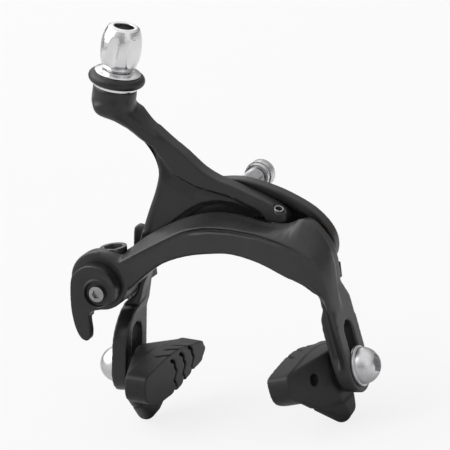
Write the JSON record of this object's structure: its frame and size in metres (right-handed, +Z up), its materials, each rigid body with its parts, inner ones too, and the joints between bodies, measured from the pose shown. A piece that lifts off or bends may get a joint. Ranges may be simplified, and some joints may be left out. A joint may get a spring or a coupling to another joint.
{
  "type": "rim brake caliper",
  "caption": "Side-pull rim brake caliper with pivoted arms, barrel adjuster, quick-release lever, mounting stud and rubber brake shoes.",
  "frame": {"origin": "on the mounting bolt's axis, at the rear face of the toothed washer that seats on the fork", "axes": "+Y to the rear along the mounting stud, +Z up towards the cable adjuster, +X to the right seen from the front"},
  "size_m": [0.0916, 0.0594, 0.1238],
  "materials": {
    "black_arms": "satin black coat",
    "black_lever": "satin black coat",
    "black_cover": "satin",
    "zinc_steel": "zinc plated",
    "chrome_fittings": "bright",
    "spring_steel": "dark drawn wire",
    "nylon": "matt",
    "brass_bush": "turned",
    "shoe_rubber": "matt moulded",
    "grip_rubber": "matt"
  },
  "bodies": {
    "bridge": {"arm_bridge": "black_arms", "mounting_bolt": "zinc_steel", "lock_nut": "zinc_steel", "toothed_washer": "zinc_steel", "thrust_washer": "nylon", "side_bush": "brass_bush", "return_spring": "spring_steel", "spring_saddle": "nylon"},
    "front_arm_body": {"front_arm": "black_arms", "side_pivot_bolt": "zinc_steel", "right_spring_slider": "nylon"},
    "rear_arm_body": {"rear_arm": "black_arms", "centre_bush": "brass_bush", "pivot_cap": "black_cover", "left_spring_slider": "nylon"},
    "mounting_nut_body": {"mounting_nut": "chrome_fittings"},
    "centring_screw_body": {"centring_screw": "zinc_steel"},
    "barrel": {"adjuster_barrel": "chrome_fittings"},
    "barrel_nut": {"adjuster_nut": "chrome_fittings", "grip_ring": "grip_rubber"},
    "lever": {"release_lever": "black_lever", "lever_screw": "zinc_steel", "lever_spindle": "zinc_steel"},
    "anchor": {"cable_anchor": "zinc_steel", "anchor_screw": "zinc_steel"},
    "right_bolt": {"right_shoe_bolt": "chrome_fittings", "right_flange_washer": "chrome_fittings", "right_seat_washer": "zinc_steel"},
    "right_pad": {"right_shoe": "shoe_rubber", "right_shoe_insert": "zinc_steel"},
    "left_bolt": {"left_shoe_bolt": "chrome_fittings", "left_flange_washer": "chrome_fittings", "left_seat_washer": "zinc_steel"},
    "left_pad": {"left_shoe": "shoe_rubber", "left_shoe_insert": "zinc_steel"}
  },
  "joints": [
    {"name": "front_arm_turn", "type": "hinge", "parent": "bridge", "child": "front_arm_body", "pos_m": [0.0265, -0.0042, -0.012], "axis": [0, 1, 0], "range_deg": [0, 17], "stiffness_Nm_per_rad": 0.3, "springref_deg": -28.65, "deforming": ["return_spring"]},
    {"name": "rear_arm_turn", "type": "hinge", "parent": "bridge", "child": "rear_arm_body", "pos_m": [0, -0.0086, 0], "axis": [0, 1, 0], "range_deg": [-10.3, 0]},
    {"name": "mounting_nut_slide", "type": "slide", "parent": "bridge", "child": "mounting_nut_body", "axis": [0, 1, 0], "range_m": [0, 0.03]},
    {"name": "centring_screw_slide", "type": "slide", "parent": "rear_arm_body", "child": "centring_screw_body", "axis": [0.4244, -0.2504, 0.8702], "range_m": [0, 0.002]},
    {"name": "barrel_nut_turn", "type": "hinge", "parent": "rear_arm_body", "child": "barrel_nut", "pos_m": [-0.0269, -0.015, 0.0377], "axis": [0.2924, 0, 0.9563], "range_deg": [0, 1800]},
    {"name": "barrel_slide", "type": "slide", "parent": "rear_arm_body", "child": "barrel", "axis": [0.2924, 0, 0.9563], "range_m": [0, 0.005]},
    {"name": "lever_turn", "type": "hinge", "parent": "front_arm_body", "child": "lever", "pos_m": [-0.0363, -0.0239, -0.0229], "axis": [0, 1, 0], "range_deg": [0, 100]},
    {"name": "anchor_slide", "type": "slide", "parent": "front_arm_body", "child": "anchor", "axis": [0, 0, 1], "range_m": [0, 0.002]},
    {"name": "right_shoe_height", "type": "slide", "parent": "front_arm_body", "child": "right_bolt", "axis": [-0.1564, 0, 0.9877], "range_m": [0, 0.01063]},
    {"name": "right_shoe_tilt", "type": "hinge", "parent": "right_bolt", "child": "right_pad", "pos_m": [0.0389, -0.013, -0.05], "axis": [0.9877, 0, 0.1564], "range_deg": [-10, 10]},
    {"name": "left_shoe_height", "type": "slide", "parent": "rear_arm_body", "child": "left_bolt", "axis": [0.1564, 0, 0.9877], "range_m": [0, 0.01063]},
    {"name": "left_shoe_tilt", "type": "hinge", "parent": "left_bolt", "child": "left_pad", "pos_m": [-0.0389, -0.013, -0.05], "axis": [-0.9877, 0, 0.1564], "range_deg": [-10, 10]}
  ],
  "couplings": [
    {"joint": "rear_arm_turn", "follows": "front_arm_turn", "ratio": -0.6},
    {"joint": "barrel_slide", "follows": "barrel_nut_turn", "m_per_rad": 0.00015915},
    {"joint": "anchor_slide", "follows": "lever_turn", "m_per_rad": 0.0011412}
  ]
}
